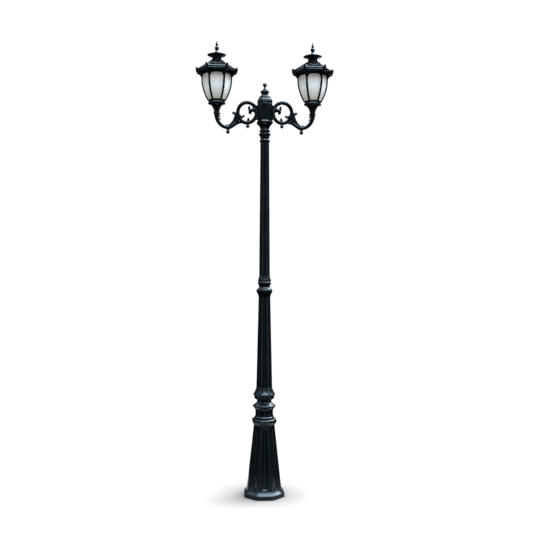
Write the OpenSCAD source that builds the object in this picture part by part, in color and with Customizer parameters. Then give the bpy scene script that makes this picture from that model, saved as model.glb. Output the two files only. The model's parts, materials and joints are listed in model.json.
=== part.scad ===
/* [Whole object] */
// which piece to draw
// height of the tips of the lantern spires above the ground
total_h = 3200; // [3150:5:3250]
// distance from the post axis to each lantern axis
lantern_x = 340; // [330:1:350]
// number of flutes round both shafts
flute_count = 12; // [10:1:14]
// depth of the flutes in the shafts
flute_depth = 3; // [2:0.5:4]

/* [Base] */
// width of the octagonal plinth across its flats
plinth_af = 280; // [276:1:290]
// height of the plinth's upright side
plinth_side_h = 29; // [24:1:34]
// height of the octagonal base body
base_body_h = 498; // [490:1:505]
// wall thickness of the cast base
base_wall = 13; // [12:0.5:14]
// depth of the concave panel in each base face
panel_depth = 6; // [4:0.5:7]

/* [Service door] */
// width of the service door
door_w = 64; // [58:1:66]
// length of the service door along the sloping face
door_len = 210; // [180:1:220]
// height where the service door starts, along the sloping face
door_start = 75; // [65:1:90]

/* [Foot] */
// circle diameter of the anchor bolts
anchor_pcd = 190; // [180:1:194]
// radius of each anchor hole
anchor_r = 9; // [7:0.5:10]
// radius of the hole where the supply cable comes in
cable_hole_r = 35; // [25:1:40]
// thickness of the foot plate
foot_t = 12; // [10:1:14]

/* [Post] */
// outside radius of the steel core tube
core_r = 24; // [22:0.5:24]
// wall of the steel core tube
core_wall = 3.5; // [3:0.25:4]
// radius of the lower shaft at its foot
lower_r1 = 57; // [55:0.5:59]
// radius of the lower shaft at its top
lower_r2 = 42; // [40:0.5:44]
// radius of the upper shaft at its foot
upper_r1 = 38.6; // [37.5:0.1:40]
// radius of the upper shaft at its top
upper_r2 = 31.6; // [31.4:0.1:33]

/* [Lantern] */
// half of the width of each cage rib
rib_half = 7; // [6:0.5:8]
// thickness of the frosted panes
pane_t = 3; // [2.5:0.5:4]
// number of windows in the vent neck
vent_count = 8; // [6:1:10]
// largest radius of the lamp's globe
bulb_r = 28; // [24:1:30]

/* [Hidden] */
$fn = 96;
gap = 0.3;
top_shift = total_h - 3200;
oct_cos = cos(22.5);
black = [0.09, 0.1, 0.11];
steel = [0.6, 0.62, 0.64];
zinc = [0.72, 0.72, 0.68];
frost = [0.86, 0.88, 0.86, 0.6];
white = [0.93, 0.93, 0.9];
dark = [0.16, 0.16, 0.17];
brass = [0.78, 0.64, 0.33];

// base body slope: half width across flats at its foot and at its top
body_z0 = 50;
body_a0 = 119;
body_a1 = 71.5;
slope = atan((body_a0 - body_a1) / (base_body_h - body_z0));
core_z0 = 436;
core_z1 = 2652;
bore_r = core_r + gap;
drum_z0 = 541;
petal_z0 = 676;
lower_z0 = 750;
lower_z1 = 1400;
bell_z1 = 1466;
ring_z1 = 1508;
upper_z0 = 1532;
upper_z1 = 2489;
house_a = 51;
finial_z0 = 2852;
arm_z = 2699;
ring_u = 125;
ring_r = 68;
scroll_t = 11.5;
bend_u = 256 + (lantern_x - 340);
bend_z = 2677;
bend_r = 86;
arm_t = 13.5;
cup_z0 = 2700 + top_shift;
cup_z1 = 2777 + top_shift;
cage_cr = 341.4;
cage_off = -247.75;
cage_cz = 2940.4 + top_shift;
cage_t = 7;
rib_cr = 306.8;
rib_off = -202;
rib_cz = 2942 + top_shift;
rib_r = 6.6;
cage_z0 = cup_z1;
cage_z1 = 2974 + top_shift;
roof_z0 = cage_z1 + 0.6;
hinge_y = 127;
hinge_z = roof_z0 + 3;
neck_top = 3091 + top_shift;
roof_top = 3049 + top_shift;
hat_top = 3116 + top_shift;

// a turned shape: points are radius and height
module turned(points) {
  rotate_extrude()
    polygon(points);
}

// an eight sided shape: points are half width across flats and height
module octo(points) {
  rotate([0, 0, 22.5])
    rotate_extrude($fn = 8)
      polygon([for (p = points) [p[0] / oct_cos, p[1]]]);
}

// a six sided shape with a flat to the front: points are corner radius and height
module hexa(points) {
  rotate_extrude($fn = 6)
    polygon(points);
}

module around(count, start = 0) {
  for (i = [0:count - 1])
    rotate([0, 0, start + i * 360 / count])
      children();
}

// local frame on the sloping rear face: y outward, z up the slope
module rear_face() {
  translate([0, body_a0, body_z0])
    rotate([slope, 0, 0])
      children();
}

// a headed screw along +z, head on top, seat at z = 0
module screw(r, len, head_r, head_h) {
  union() {
    translate([0, 0, -len])
      cylinder(h = len + 0.5, r = r, $fn = 32);
    difference() {
      cylinder(h = head_h, r = head_r, $fn = 32);
      translate([0, 0, head_h * 0.45])
        cylinder(h = head_h, r = head_r * 0.5, $fn = 6);
    }
  }
}

module foot_plate() {
  color(steel)
    difference() {
      cylinder(h = foot_t, r = 117);
      translate([0, 0, -1])
        cylinder(h = foot_t + 2, r = cable_hole_r);
      around(4, 45)
        translate([anchor_pcd / 2, 0, -1])
          cylinder(h = foot_t + 2, r = anchor_r);
      around(4)
        translate([98, 0, -1])
          cylinder(h = foot_t + 2, r = 5.3);
    }
}

module foot_screws() {
  color(zinc)
    around(4)
      translate([98, 0, foot_t + 18])
        screw(5, foot_t + 15, 8, 8);
}

module base_panels() {
  run = base_body_h - body_z0;
  len = run / cos(slope);
  w_low = 32;
  w_high = 16;
  r_low = (w_low * w_low + panel_depth * panel_depth) / (2 * panel_depth);
  r_high = (w_high * w_high + panel_depth * panel_depth) / (2 * panel_depth);
  start = 12;
  stop = len - 52;
  tilt = atan((r_low - r_high) / (stop - start));
  around(8)
    rear_face()
      translate([0, r_low - panel_depth, start])
        rotate([tilt, 0, 0]) {
          cylinder(h = (stop - start) / cos(tilt), r1 = r_low, r2 = r_high);
          translate([0, 0, (stop - start) / cos(tilt)])
            sphere(r = r_high * 1.002);
        }
}

module base_shell() {
  inner_top = core_z0;
  w = base_wall;
  difference() {
    octo([
      [117.5, 0], [plinth_af / 2, 0], [plinth_af / 2, plinth_side_h],
      [body_a0 + 2, plinth_side_h + 19], [body_a0 + 2, body_z0 + 1], [body_a0, body_z0 + 3],
      [body_a1, base_body_h], [73, 505], [83.5, 524], [85.5, 530], [84.5, 535],
      [79, 541], [18, 541], [18, inner_top],
      [body_a1 + 6 - w, inner_top], [body_a0 - w, body_z0], [body_a0 - w, foot_t + 22],
      [117.5, foot_t + 8]
    ]);
    base_panels();
  }
}

// outline of the service door in the local frame, seen from above
module door_outline(side, inward) {
  polygon([
    [-door_w / 2 - side, 3], [door_w / 2 + side, 3], [door_w / 2 + side, -2],
    [door_w / 2 + side - inward, -base_wall - 8], [-door_w / 2 - side, -base_wall - 8]
  ]);
}

hinge_off = 4;
lug_z = door_start + door_len - 18;
lug_x = 26.8;
knuckle_r = 3.6;
knuckle_count = 5;
knuckle_len = door_len / 7;

module knuckle_at(i, reach) {
  z0 = door_start + knuckle_len * (i + 1);
  x0 = -door_w / 2 - 1;
  translate([x0, hinge_off, z0 + 0.4])
    cylinder(h = knuckle_len - 0.8, r = knuckle_r, $fn = 32);
  translate([reach > 0 ? x0 + 1.1 : x0 - 6, -2, z0 + 0.4])
    cube([reach > 0 ? 4.9 : 6, hinge_off + 3, knuckle_len - 0.8]);
}

module pin_hole() {
  translate([-door_w / 2 - 1, hinge_off, door_start])
    cylinder(h = door_len, r = 1.8, $fn = 32);
}

module door_screw_hole() {
  translate([lug_x, 30, lug_z])
    rotate([90, 0, 0])
      cylinder(h = 80, r = 3.3, $fn = 32);
}

module base_casting() {
  color(black)
    difference() {
      union() {
        difference() {
          base_shell();
          rear_face()
            translate([0, 0, door_start - 0.8])
              linear_extrude(door_len + 1.6)
                polygon([
                  [-door_w / 2 - 0.6, 30], [door_w / 2 + 0.8, 30],
                  [door_w / 2 + 0.8, -40], [-door_w / 2 - 0.6, -40]
                ]);
        }
        around(4)
          translate([90, -13, foot_t])
            cube([28, 26, 18]);
        rear_face()
          translate([19, -23, lug_z - 9])
            cube([22, 8.5, 18]);
        rear_face()
          for (i = [0:2:knuckle_count - 1])
            knuckle_at(i, -1);
      }
      translate([0, 0, core_z0 - 60])
        cylinder(h = 300, r = bore_r);
      around(4)
        translate([98, 0, 0])
          cylinder(h = 60, r = 5.3);
      rear_face() {
        pin_hole();
        door_screw_hole();
      }
    }
}

module service_door() {
  color(black)
    difference() {
      union() {
        intersection() {
          base_shell();
          rear_face()
            translate([0, 0, door_start])
              linear_extrude(door_len)
                door_outline(0, 2);
        }
        rear_face()
          for (i = [1:2:knuckle_count - 1])
            knuckle_at(i, 1);
      }
      rear_face() {
        pin_hole();
        door_screw_hole();
      }
    }
}

module door_hinge_pin() {
  color(steel)
    rear_face()
      translate([-door_w / 2 - 1, hinge_off, door_start + knuckle_len - 1])
        cylinder(h = knuckle_len * knuckle_count + 2, r = 1.75, $fn = 32);
}

module door_screw() {
  color(zinc)
    rear_face()
      translate([lug_x, 0.4, lug_z])
        rotate([-90, 0, 0])
          screw(3, 13, 4.6, 4);
}

module gear_tray() {
  color(steel)
    union() {
      translate([-28, -23, foot_t])
        cube([56, 3, 318]);
      translate([-28, -52, foot_t])
        cube([56, 30, 3]);
    }
}

module tray_box(width, depth, height, z) {
  translate([-width / 2, -20, z])
    difference() {
      cube([width, depth, height]);
      for (x = [width * 0.25, width * 0.75])
        translate([x, depth - 6, height / 2])
          rotate([-90, 0, 0])
            cylinder(h = 10, r = 3, $fn = 32);
    }
}

module terminal_block() {
  color(white)
    tray_box(46, 18, 26, 120);
}

module fuse_holder() {
  color(dark)
    tray_box(40, 22, 34, 160);
}

module driver_box() {
  color(steel)
    tray_box(50, 26, 100, 212);
}

module earth_stud() {
  color(brass)
    translate([66, 26, foot_t])
      union() {
        cylinder(h = 26, r = 4, $fn = 32);
        cylinder(h = 6, r = 7.5, $fn = 6);
      }
}

module core_tube() {
  color(steel)
    translate([0, 0, core_z0])
      difference() {
        cylinder(h = core_z1 - core_z0, r = core_r);
        translate([0, 0, -1])
          cylinder(h = core_z1 - core_z0 + 2, r = core_r - core_wall);
      }
}

// a small sunk hole for a set screw on the rear of a collar
module set_hole(y, z) {
  translate([0, y - 4, z])
    rotate([-90, 0, 0])
      cylinder(h = 20, r = 5, $fn = 32);
  translate([0, y - 12, z])
    rotate([-90, 0, 0])
      cylinder(h = 20, r = 3.3, $fn = 32);
}

module drum_collar() {
  color(black)
    turned([
      [bore_r, drum_z0], [69, drum_z0], [71, 544], [71.5, 549], [69, 554], [64.5, 558],
      [62, 572], [61.5, 590], [63, 603], [67, 613], [74, 621], [80, 626], [81, 631],
      [79, 637], [74, 641], [62, 650], [54, 658], [51, 664], [51.5, petal_z0],
      [bore_r, petal_z0]
    ]);
}

module petal_scoops(count, r, z, size, lean) {
  around(count, 180 / count)
    translate([r, 0, z])
      rotate([0, lean, 0])
        cylinder(h = size * 3, r = size, center = true, $fn = 32);
}

module lower_petal_collar() {
  color(black)
    difference() {
      turned([
        [bore_r, petal_z0], [56, petal_z0], [66, 682], [71, 687], [71, 695], [69, 699],
        [70, 703], [76, 707], [77.5, 711], [76.5, 716], [70, 727], [62, 740],
        [57.5, lower_z0], [57.5, 756], [52, 756], [52, lower_z0], [bore_r, lower_z0]
      ]);
      petal_scoops(flute_count, 80, 745, 8, 50);
      set_hole(71, 691);
    }
}

// tapered shaft with long flutes
module fluted_shaft(z0, z1, r1, r2, f1, f2, inner) {
  run = z1 - z0;
  far1 = r1 + f1 - flute_depth;
  far2 = r2 + f2 - flute_depth * 0.75;
  tilt = atan((far1 - far2) / run);
  difference() {
    translate([0, 0, z0])
      cylinder(h = run, r1 = r1, r2 = r2);
    around(flute_count)
      translate([far1, 0, z0])
        rotate([0, -tilt, 0])
          translate([0, 0, -2])
            cylinder(h = run + 4, r1 = f1, r2 = f2, $fn = 48);
    translate([0, 0, z0 - 1])
      cylinder(h = run + 2, r1 = r1 - inner, r2 = r2 - inner);
  }
}

module lower_shaft() {
  color(black)
    union() {
      difference() {
        fluted_shaft(756, lower_z1, lower_r1, lower_r2, 12, 9, 9);
        translate([0, 0, lower_z1 - 30])
          cylinder(h = 40, r = bore_r);
      }
      translate([0, 0, lower_z0])
        difference() {
          cylinder(h = 10, r = 51.7);
          translate([0, 0, -1])
            cylinder(h = 12, r = 46);
        }
    }
}

module middle_bell() {
  color(black)
    turned([
      [bore_r, lower_z1], [42, lower_z1], [44, 1409], [49, 1420], [54.5, 1430], [56, 1434],
      [57, 1437], [57, 1447], [54, 1451], [49, 1455], [44, 1459], [40, bell_z1],
      [bore_r, bell_z1]
    ]);
}

module middle_ring() {
  color(black)
    difference() {
      turned([
        [bore_r, bell_z1], [39.5, bell_z1], [39.5, 1478], [42, 1484], [46.5, 1488], [47.5, 1494],
        [46.5, 1500], [43, 1504], [43, ring_z1], [bore_r, ring_z1]
      ]);
      set_hole(47, 1492.2);
    }
}

module middle_petal_collar() {
  color(black)
    difference() {
      turned([
        [bore_r, ring_z1], [44.5, ring_z1], [47.5, 1511], [46.8, 1516], [43.5, 1526],
        [39.4, 1536], [39.4, 1540], [36, 1540], [36, upper_z0], [bore_r, upper_z0]
      ]);
      petal_scoops(flute_count, 50.5, 1532, 5, 50);
    }
}

module upper_shaft() {
  color(black)
    union() {
      difference() {
        fluted_shaft(1540, upper_z1, upper_r1, upper_r2, 8, 7, 6);
        translate([0, 0, upper_z1 - 200])
          cylinder(h = 210, r = bore_r);
      }
      translate([0, 0, upper_z0])
        difference() {
          cylinder(h = 12, r = 35.7);
          translate([0, 0, -1])
            cylinder(h = 14, r = 31);
        }
    }
}

module neck_rings() {
  color(black)
    difference() {
      turned([
        [bore_r, upper_z1], [31.8, upper_z1], [35, 2494], [37.2, 2499], [37, 2505], [32, 2509],
        [30.8, 2516], [32.5, 2522], [35.5, 2534], [41, 2540], [42.2, 2546], [41, 2552],
        [33, 2555], [31, 2559], [36, 2563], [37.8, 2570], [36.5, 2575], [33, 2579],
        [32.5, 2590], [bore_r, 2590]
      ]);
      set_hole(42, 2543.4);
    }
}

module set_screw_at(y, z) {
  translate([0, y - 4, z])
    rotate([-90, 0, 0])
      screw(3, 7, 4.6, 3);
}

module shaft_set_screws() {
  color(zinc)
    union() {
      set_screw_at(71, 691);
      set_screw_at(47, 1492.2);
      set_screw_at(42, 2543.4);
    }
}

module head_housing() {
  color(black)
    difference() {
      octo([
        [18, 2590], [33, 2590], [35, 2597], [41, 2606], [48, 2616], [55, 2624], [56, 2628],
        [56, 2634], [52, 2640], [house_a, 2646], [house_a, 2768], [53, 2772], [53, 2779],
        [51, 2783], [51, 2788], [44, 2797], [40, 2797], [40, 2656], [18, 2656]
      ]);
      around(8)
        translate([house_a - 1.5, -14.5, 2656])
          cube([10, 29, 104]);
      translate([0, 0, 2580])
        cylinder(h = 100, r = bore_r);
      around(2)
        arm_bolt_holes();
      for (x = [-9, 9])
        translate([x, 30, 2778])
          rotate([-90, 0, 0])
            cylinder(h = 40, r = 3.3, $fn = 32);
    }
}

module head_cap() {
  color(black)
    difference() {
      octo([
        [30, 2764], [39.6, 2764], [39.6, 2797], [44, 2797], [44, 2801], [40, 2804], [39.5, 2812],
        [36, 2816], [26, 2819], [25, 2824], [24.6, 2836], [27, 2842], [31, 2846], [31, 2850],
        [24, 2856], [18, finial_z0 + 8], [0, finial_z0 + 8], [0, 2836], [18, 2836], [18, 2812],
        [30, 2796]
      ]);
      for (x = [-9, 9])
        translate([x, 28, 2778])
          rotate([-90, 0, 0])
            cylinder(h = 40, r = 3.3, $fn = 32);
      translate([0, 0, finial_z0 - 4])
        cylinder(h = 20, r = 4.3, $fn = 32);
    }
}

module head_finial() {
  z0 = finial_z0 + 8;
  color(black)
    union() {
      octo([
        [0, z0], [17.5, z0], [15, z0 + 3], [10, z0 + 9], [7, z0 + 15], [7, z0 + 22],
        [9, z0 + 27], [16.5, z0 + 36], [16.5, z0 + 39], [9, z0 + 47], [0, z0 + 53]
      ]);
      translate([0, 0, z0 - 11])
        cylinder(h = 13, r = 4, $fn = 32);
    }
}

module head_cap_screws() {
  color(zinc)
    for (x = [-9, 9])
      translate([x, 53, 2778])
        rotate([-90, 0, 0])
          screw(3, 20, 5, 3.5);
}

module bow(u, z, r, t, a0, a1) {
  translate([u, 0, z])
    rotate([90, 0, 0])
      rotate_extrude(start = a0, angle = a1 - a0)
        translate([r, 0])
          circle(r = t, $fn = 48);
}

module ball(u, z, r) {
  translate([u, 0, z])
    sphere(r = r, $fn = 48);
}

module rod(u0, z0, u1, z1, t) {
  du = u1 - u0;
  dz = z1 - z0;
  translate([u0, 0, z0])
    rotate([0, atan2(du, dz), 0])
      cylinder(h = norm([du, dz]), r = t, $fn = 48);
}

module arm_bolt_places() {
  for (y = [-14, 14], z = [2656, 2744])
    translate([house_a, y, z])
      children();
}

module arm_bolt_holes() {
  arm_bolt_places()
    rotate([0, 90, 0])
      translate([0, 0, -16])
        cylinder(h = 30, r = 3.3, $fn = 32);
}

root_u = 61;
root_z = 2714;

module arm_scroll() {
  difference() {
    union() {
      bow(ring_u, arm_z, ring_r, scroll_t, 0, 360);
      bow(bend_u, bend_z, bend_r, arm_t, 248, 360);
      translate([lantern_x, 0, bend_z - 1])
        cylinder(h = 7, r = arm_t);
      translate([lantern_x, 0, bend_z])
        cylinder(h = 46, r = 10);
      rod(224, 2597, 168, 2634, scroll_t - 0.4);
      bow(311, 2680, 102, 9, 190, 237);
      ball(210, 2668, 9.6);
      rod(203, 2650, 196, 2690, 9);
      bow(224, 2681, 17, 7, 70, 190);
      ball(231, 2697, 8.5);
      rod(62, 2716, 100, 2713, 7.4);
      ball(100, 2713, 9);
      bow(100, 2732, 12, 5.4, -90, 30);
      ball(110.5, 2740, 7);
      bow(88, 2706, 14, 5, -75, 20);
      ball(94, 2692, 7.4);
      bow(168, 2696, 20, 6, 205, 300);
      ball(149, 2686, 7.4);
      rod(118, 2632, 117, 2657, 5.6);
      ball(117, 2660, 6.8);
      ball(137, 2757, 6.4);
      ball(266, 2604, 8);
      for (i = [0:2])
        ball(lantern_x - 14 - i * 1.5, 2674.2 - i * 17, 8.2 - i);
      translate([house_a, -20, 2648])
        cube([8, 40, 104]);
      translate([root_u, 0, root_z])
        rotate([90, 0, 0])
          cylinder(h = 30, r = 10, center = true);
      translate([bend_u + 6, 0, 2573])
        cylinder(h = 12, r = 9.5);
      translate([ring_u - 4, 0, 2616])
        cylinder(h = 10, r = 8);
    }
    translate([0, -40, 2560])
      cube([house_a, 80, 240]);
    arm_bolt_holes();
    translate([root_u, 0, root_z])
      rotate([90, 0, 0])
        cylinder(h = 40, r = 3.3, $fn = 32);
    translate([root_u, -15, root_z])
      rotate([90, 0, 0])
        cylinder(h = 30, r = 6.6, $fn = 32);
    translate([bend_u + 6, 0, 2560])
      cylinder(h = 26, r = 3.3, $fn = 32);
    translate([ring_u - 4, 0, 2600])
      cylinder(h = 24, r = 3.3, $fn = 32);
    translate([lantern_x, 0, bend_z + 4])
      cylinder(h = 60, r = 5, $fn = 32);
  }
}

module arm_drops() {
  translate([bend_u + 6, 0, 0])
    union() {
      turned([
        [0, 2545], [4, 2547], [11, 2553], [13.5, 2561], [11, 2568], [8.5, 2571], [8.5, 2573],
        [0, 2573]
      ]);
      translate([0, 0, 2572])
        cylinder(h = 11, r = 3, $fn = 32);
    }
  translate([ring_u - 4, 0, 0])
    union() {
      turned([
        [0, 2588], [3, 2590], [9, 2597], [10.5, 2604], [9, 2610], [7, 2613], [7, 2616],
        [0, 2616]
      ]);
      translate([0, 0, 2615])
        cylinder(h = 7, r = 3, $fn = 32);
    }
}

module side_bolts() {
  arm_bolt_places()
    rotate([0, 90, 0])
      translate([0, 0, 8])
        screw(3, 20, 4.7, 4.5);
  translate([root_u, -15, root_z])
    rotate([90, 0, 0])
      screw(3, 12, 6, 4);
}

module arm_bolts() {
  color(zinc) {
    side_bolts();
    mirror([1, 0, 0])
      side_bolts();
  }
}

module socket_collar() {
  difference() {
    turned([
      [10 + gap, 2683], [14.5, 2683], [20, 2687], [23.7, 2692], [24, 2698], [20, 2701],
      [16.5, cup_z0], [10 + gap, cup_z0]
    ]);
    translate([0, 5, 2693])
      rotate([-90, 0, 0])
        cylinder(h = 30, r = 3.3, $fn = 32);
  }
}

module socket_screw() {
  translate([0, 24, 2693])
    rotate([-90, 0, 0])
      screw(3, 13, 4.6, 3);
}

module lantern_cup() {
  color(black)
    difference() {
      union() {
        turned([
          [5, cup_z0], [16, cup_z0], [17.5, cup_z0 + 6], [19, cup_z0 + 12],
          [20.5, cup_z0 + 22], [24, cup_z0 + 33], [29, cup_z0 + 42], [38, cup_z0 + 50],
          [50, cup_z0 + 56], [50, cup_z0 + 66], [5, cup_z0 + 66]
        ]);
        hexa([
          [10, cup_z0 + 56], [56, cup_z0 + 56], [61.5, cup_z0 + 59], [61.5, cup_z0 + 73],
          [59, cup_z1], [10, cup_z1]
        ]);
      }
      translate([0, 0, cup_z0 - 1])
        cylinder(h = 40, r = 10 + gap);
      turned([
        [0, cup_z0 + 38], [24, cup_z0 + 38], [24, cup_z0 + 48], [44, cup_z0 + 60],
        [44, cup_z1 + 1], [0, cup_z1 + 1]
      ]);
    }
}

// a curved sheet of the cage surface: the y axis points out of the pane
module curved_sheet(r_in, r_out) {
  translate([-75, cage_off, cage_cz])
    rotate([0, 90, 0])
      difference() {
        cylinder(h = 150, r = r_out, $fn = 360);
        translate([0, 0, -1])
          cylinder(h = 152, r = r_in, $fn = 360);
      }
}

module slice(z0, z1, side) {
  translate([0, 0, z0])
    linear_extrude(z1 - z0)
      polygon([[0, side * 2], [80, side * 2 + 80 / tan(30)], [-80, side * 2 + 80 / tan(30)]]);
}

module window_shape() {
  top = cage_z1 - 14;
  wide = 43;
  corner = 20;
  translate([0, 160, 0])
    rotate([90, 0, 0])
      linear_extrude(140)
        union() {
          translate([-wide, cage_z0 + 5])
            square([wide * 2, top - corner - cage_z0 - 5]);
          translate([-wide + corner, top - corner - 1])
            square([(wide - corner) * 2, corner + 1]);
          for (x = [-wide + corner, wide - corner])
            translate([x, top - corner])
              circle(r = corner);
        }
}

module cage_face() {
  difference() {
    intersection() {
      curved_sheet(cage_cr - cage_t, cage_cr);
      slice(cage_z0, cage_z1, 1);
    }
    intersection() {
      slice(cage_z0, cage_z1, rib_half);
      window_shape();
    }
  }
}

// a round bar along each corner of the cage
module rib_bar() {
  rotate([90, 0, 0])
    translate([rib_off, rib_cz, 0])
      rotate_extrude(start = -33.5, angle = 38.5)
        translate([rib_cr, 0])
          circle(r = rib_r, $fn = 48);
}

module bracket() {
  rotate([90, 0, 0])
    translate([0, 0, -7])
      linear_extrude(14)
        difference() {
          polygon([
            [103, cage_z1 - 46], [140, cage_z1 - 46], [142, cage_z1], [101, cage_z1]
          ]);
          translate([146, cage_z1 - 47])
            circle(r = 39);
        }
}

module lantern_cage() {
  color(black)
    difference() {
      union() {
        around(6)
          cage_face();
        around(6)
          bracket();
        intersection() {
          around(6)
            rib_bar();
          translate([0, 0, cage_z0])
            cylinder(h = cage_z1 - cage_z0 - 0.5, r = 160);
        }
        hexa([
          [88, cage_z1 - 8], [100, cage_z1 - 8], [103, cage_z1], [88, cage_z1]
        ]);
        difference() {
          hexa([
            [48, cage_z0], [57, cage_z0], [59, cage_z0 + 4], [48, cage_z0 + 4]
          ]);
          translate([0, 0, cage_z0 - 1])
            cylinder(h = 8, r = 44);
        }
        for (s = [-1, 1])
          translate([s * 21 - 9, 86, cage_z1 - 9]) {
            cube([18, 45, 9]);
            translate([0, 36, 0])
              cube([18, 9, 9 + hinge_z - cage_z1]);
          }
        for (s = [-1, 1])
          translate([s * 21 - 9, hinge_y, hinge_z])
            rotate([0, 90, 0])
              cylinder(h = 18, r = 6, $fn = 48);
      }
      translate([-40, hinge_y, hinge_z])
        rotate([0, 90, 0])
          cylinder(h = 80, r = 2.6, $fn = 32);
    }
}

module glass_panes() {
  out = cage_cr - cage_t - gap;
  color(frost)
    around(6)
      intersection() {
        curved_sheet(out - pane_t, out);
        slice(cage_z0 + 4.4, cage_z1 - 9, 2.5);
      }
}

module pane_clips() {
  y_clip = cage_off + cage_cr - cage_t - gap - pane_t;
  color(steel)
    around(6)
      translate([-6, y_clip - 3.4, cage_z1 - 30])
        cube([12, 2, 22]);
}

module lamp_holder() {
  color(white)
    turned([
      [6, cup_z0 + 38], [20, cup_z0 + 38], [20, cup_z0 + 46], [16, cup_z0 + 50],
      [16, cup_z0 + 92], [13.6, cup_z0 + 92], [13.6, cup_z0 + 62], [6, cup_z0 + 62]
    ]);
}

module lamp() {
  z0 = cup_z0 + 63;
  color([0.97, 0.96, 0.9])
    turned([
      [0, z0], [13.3, z0], [13.3, z0 + 30], [20, z0 + 38], [bulb_r, z0 + 48],
      [bulb_r, z0 + 112], [24, z0 + 126], [14, z0 + 136], [0, z0 + 140]
    ]);
}

module ear() {
  rotate([90, 0, 0])
    translate([0, 0, -8])
      linear_extrude(16)
        polygon([
          [118, roof_z0 + 0.6], [142, roof_z0 + 0.6], [147, roof_z0 + 12], [149, roof_z0 + 26],
          [147.5, roof_z0 + 43], [140, roof_z0 + 40], [137, roof_z0 + 34],
          [131, roof_z0 + 30], [118, roof_z0 + 36]
        ]);
}

module ridge() {
  rod(62, roof_top - 4, 130, roof_z0 + 28, 4.2);
}

module lantern_roof() {
  color(black)
    difference() {
      union() {
        hexa([
          [106, roof_z0], [128, roof_z0], [134, roof_z0 + 6], [136, roof_z0 + 25],
          [131, roof_z0 + 32], [72, roof_top - 6], [68, roof_top], [40, roof_top],
          [40, roof_top - 6], [64, roof_top - 11], [124, roof_z0 + 26], [126, roof_z0 + 10]
        ]);
        around(6) {
          ear();
          ridge();
        }
        translate([-11.5, 111, roof_z0 + 1])
          cube([23, 16, 7]);
        translate([-11.5, hinge_y, hinge_z])
          rotate([0, 90, 0])
            cylinder(h = 23, r = 6, $fn = 48);
      }
      translate([-40, hinge_y, hinge_z])
        rotate([0, 90, 0])
          cylinder(h = 80, r = 2.6, $fn = 32);
      around(6, 30)
        translate([50, 0, roof_top - 20])
          cylinder(h = 40, r = 2.3, $fn = 32);
    }
}

module hinge_pin() {
  color(steel)
    translate([-31, hinge_y, hinge_z])
      rotate([0, 90, 0])
        cylinder(h = 62, r = 2.52, $fn = 32);
}

module vent_neck() {
  color(black)
    difference() {
      turned([
        [30, roof_top], [60, roof_top], [58, roof_top + 4], [47, roof_top + 6],
        [38, roof_top + 12], [32.5, roof_top + 22], [30.5, neck_top - 6], [36, neck_top - 2],
        [36, neck_top], [24, neck_top], [24, roof_top + 16]
      ]);
      around(vent_count)
        translate([15, -5, roof_top + 16])
          cube([40, 10, 18]);
      around(6, 30)
        translate([50, 0, roof_top - 20])
          cylinder(h = 60, r = 2.3, $fn = 32);
    }
}

module roof_screws() {
  color(zinc)
    around(6, 30)
      translate([50, 0, roof_top + 6.8])
        screw(2, 16, 4, 2.5);
}

module hat() {
  color(black)
    difference() {
      turned([
        [0, neck_top], [30, neck_top], [52, neck_top + 3], [65, neck_top + 7],
        [67.5, neck_top + 11], [63, neck_top + 14], [34, neck_top + 20], [16, hat_top],
        [0, hat_top]
      ]);
      translate([0, 0, hat_top - 12])
        cylinder(h = 20, r = 5.3, $fn = 32);
    }
}

module spire() {
  color(black)
    union() {
      turned([
        [0, hat_top], [15.5, hat_top], [17, hat_top + 4], [12, hat_top + 11], [8.5, hat_top + 20],
        [10, hat_top + 25], [14.5, hat_top + 31], [15, hat_top + 36], [12, hat_top + 43],
        [6, hat_top + 49], [5, hat_top + 52], [9.5, hat_top + 59], [10, hat_top + 62],
        [6, hat_top + 69], [3.5, hat_top + 76], [0, total_h]
      ]);
      translate([0, 0, hat_top - 10])
        cylinder(h = 12, r = 5, $fn = 32);
    }
}

module left() {
  translate([-lantern_x, 0, 0])
    children();
}

module right() {
  translate([lantern_x, 0, 0])
    children();
}

module mirrored() {
  mirror([1, 0, 0])
    children();
}

foot_plate();
foot_screws();
base_casting();
service_door();
door_hinge_pin();
door_screw();
gear_tray();
terminal_block();
fuse_holder();
driver_box();
earth_stud();
core_tube();
drum_collar();
lower_petal_collar();
lower_shaft();
middle_bell();
middle_ring();
middle_petal_collar();
upper_shaft();
neck_rings();
shaft_set_screws();
head_housing();
head_cap();
head_finial();
head_cap_screws();
arm_bolts();
mirrored() color(black) arm_scroll();  // left_arm
mirrored() color(black) arm_drops();  // left_arm_pendants
left() color(black) socket_collar();  // left_socket
left() lantern_cup();  // left_cup
left() lantern_cage();  // left_cage
left() glass_panes();  // left_panes
left() pane_clips();  // left_pane_clips
left() lamp_holder();  // left_lamp_holder
left() lamp();  // left_lamp
left() lantern_roof();  // left_roof
left() vent_neck();  // left_vent_neck
left() hat();  // left_hat
left() spire();  // left_spire
left() hinge_pin();  // left_hinge_pin
left() roof_screws();  // left_roof_screws
left() color(zinc) socket_screw();  // left_socket_screws
color(black) arm_scroll();  // right_arm
color(black) arm_drops();  // right_arm_pendants
right() color(black) socket_collar();  // right_socket
right() lantern_cup();  // right_cup
right() lantern_cage();  // right_cage
right() glass_panes();  // right_panes
right() pane_clips();  // right_pane_clips
right() lamp_holder();  // right_lamp_holder
right() lamp();  // right_lamp
right() lantern_roof();  // right_roof
right() vent_neck();  // right_vent_neck
right() hat();  // right_hat
right() spire();  // right_spire
right() hinge_pin();  // right_hinge_pin
right() roof_screws();  // right_roof_screws
right() color(zinc) socket_screw();  // right_socket_screws
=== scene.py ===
import json
import math
import bmesh
import bpy
from mathutils import Matrix, Vector


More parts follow.
